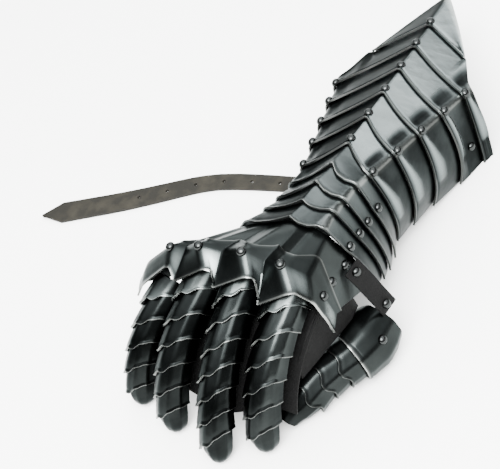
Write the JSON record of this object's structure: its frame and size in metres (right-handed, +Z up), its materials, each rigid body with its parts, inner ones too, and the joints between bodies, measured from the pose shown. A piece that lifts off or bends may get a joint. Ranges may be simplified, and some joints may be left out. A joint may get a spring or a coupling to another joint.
{
  "type": "plate gauntlet",
  "caption": "Right-hand plate armour gauntlet with a ridged, pointed cuff of overlapping lames, scaled fingers, thumb plates and a loose leather strap.",
  "frame": {"origin": "centre of the footprint, on the ground the gauntlet rests on", "axes": "+Z up, +Y from the fingers toward the elbow, +X toward the thumb side"},
  "size_m": [0.2972, 0.3495, 0.1085],
  "materials": {
    "buckle": "plain steel",
    "buckle_tab": "smooth dark leather",
    "cuff_lame_1": "blackened steel, polished",
    "cuff_lame_2": "blackened steel, polished",
    "cuff_lame_3": "blackened steel, polished",
    "cuff_lame_4": "blackened steel, polished",
    "cuff_lame_5": "blackened steel, polished",
    "cuff_point": "blackened steel, polished",
    "hand_plate": "blackened steel, polished",
    "index_lame_1": "blackened steel, polished",
    "index_lame_2": "blackened steel, polished",
    "index_lame_3": "blackened steel, polished",
    "index_lame_4": "blackened steel, polished",
    "index_lame_5": "blackened steel, polished",
    "index_lame_6": "blackened steel, polished",
    "index_stall": "smooth dark leather",
    "index_tip": "blackened steel, polished",
    "knuckle_plate": "blackened steel, polished",
    "little_lame_1": "blackened steel, polished",
    "little_lame_2": "blackened steel, polished",
    "little_lame_3": "blackened steel, polished",
    "little_lame_4": "blackened steel, polished",
    "little_lame_5": "blackened steel, polished",
    "little_stall": "smooth dark leather",
    "little_tip": "blackened steel, polished",
    "middle_lame_1": "blackened steel, polished",
    "middle_lame_2": "blackened steel, polished",
    "middle_lame_3": "blackened steel, polished",
    "middle_lame_4": "blackened steel, polished",
    "middle_lame_5": "blackened steel, polished",
    "middle_lame_6": "blackened steel, polished",
    "middle_lame_7": "blackened steel, polished",
    "middle_stall": "smooth dark leather",
    "middle_tip": "blackened steel, polished",
    "palm_leather": "smooth dark leather",
    "palm_strip": "smooth dark leather",
    "ring_lame_1": "blackened steel, polished",
    "ring_lame_2": "blackened steel, polished",
    "ring_lame_3": "blackened steel, polished",
    "ring_lame_4": "blackened steel, polished",
    "ring_lame_5": "blackened steel, polished",
    "ring_lame_6": "blackened steel, polished",
    "ring_stall": "smooth dark leather",
    "ring_tip": "blackened steel, polished",
    "strap": "smooth dark leather",
    "thumb_base_plate": "blackened steel, polished",
    "thumb_hinge_strip": "smooth dark leather",
    "thumb_lame_1": "blackened steel, polished",
    "thumb_lame_2": "blackened steel, polished",
    "thumb_lame_3": "blackened steel, polished",
    "thumb_stall": "smooth dark leather",
    "thumb_tip": "blackened steel, polished",
    "thumb_web": "smooth dark leather",
    "wrist_lame_1": "blackened steel, polished",
    "wrist_lame_2": "blackened steel, polished",
    "wrist_lame_3": "blackened steel, polished",
    "wrist_lame_4": "blackened steel, polished"
  },
  "bodies": {
    "root": {"buckle": "buckle", "buckle_tab": "buckle_tab", "cuff_lame_1": "cuff_lame_1", "cuff_lame_2": "cuff_lame_2", "cuff_lame_3": "cuff_lame_3", "cuff_lame_4": "cuff_lame_4", "cuff_lame_5": "cuff_lame_5", "cuff_point": "cuff_point", "hand_plate": "hand_plate", "index_lame_1": "index_lame_1", "index_lame_2": "index_lame_2", "index_lame_3": "index_lame_3", "index_lame_4": "index_lame_4", "index_lame_5": "index_lame_5", "index_lame_6": "index_lame_6", "index_stall": "index_stall", "index_tip": "index_tip", "knuckle_plate": "knuckle_plate", "little_lame_1": "little_lame_1", "little_lame_2": "little_lame_2", "little_lame_3": "little_lame_3", "little_lame_4": "little_lame_4", "little_lame_5": "little_lame_5", "little_stall": "little_stall", "little_tip": "little_tip", "middle_lame_1": "middle_lame_1", "middle_lame_2": "middle_lame_2", "middle_lame_3": "middle_lame_3", "middle_lame_4": "middle_lame_4", "middle_lame_5": "middle_lame_5", "middle_lame_6": "middle_lame_6", "middle_lame_7": "middle_lame_7", "middle_stall": "middle_stall", "middle_tip": "middle_tip", "palm_leather": "palm_leather", "palm_strip": "palm_strip", "ring_lame_1": "ring_lame_1", "ring_lame_2": "ring_lame_2", "ring_lame_3": "ring_lame_3", "ring_lame_4": "ring_lame_4", "ring_lame_5": "ring_lame_5", "ring_lame_6": "ring_lame_6", "ring_stall": "ring_stall", "ring_tip": "ring_tip", "strap": "strap", "thumb_base_plate": "thumb_base_plate", "thumb_hinge_strip": "thumb_hinge_strip", "thumb_lame_1": "thumb_lame_1", "thumb_lame_2": "thumb_lame_2", "thumb_lame_3": "thumb_lame_3", "thumb_stall": "thumb_stall", "thumb_tip": "thumb_tip", "thumb_web": "thumb_web", "wrist_lame_1": "wrist_lame_1", "wrist_lame_2": "wrist_lame_2", "wrist_lame_3": "wrist_lame_3", "wrist_lame_4": "wrist_lame_4"}
  },
  "joints": []
}
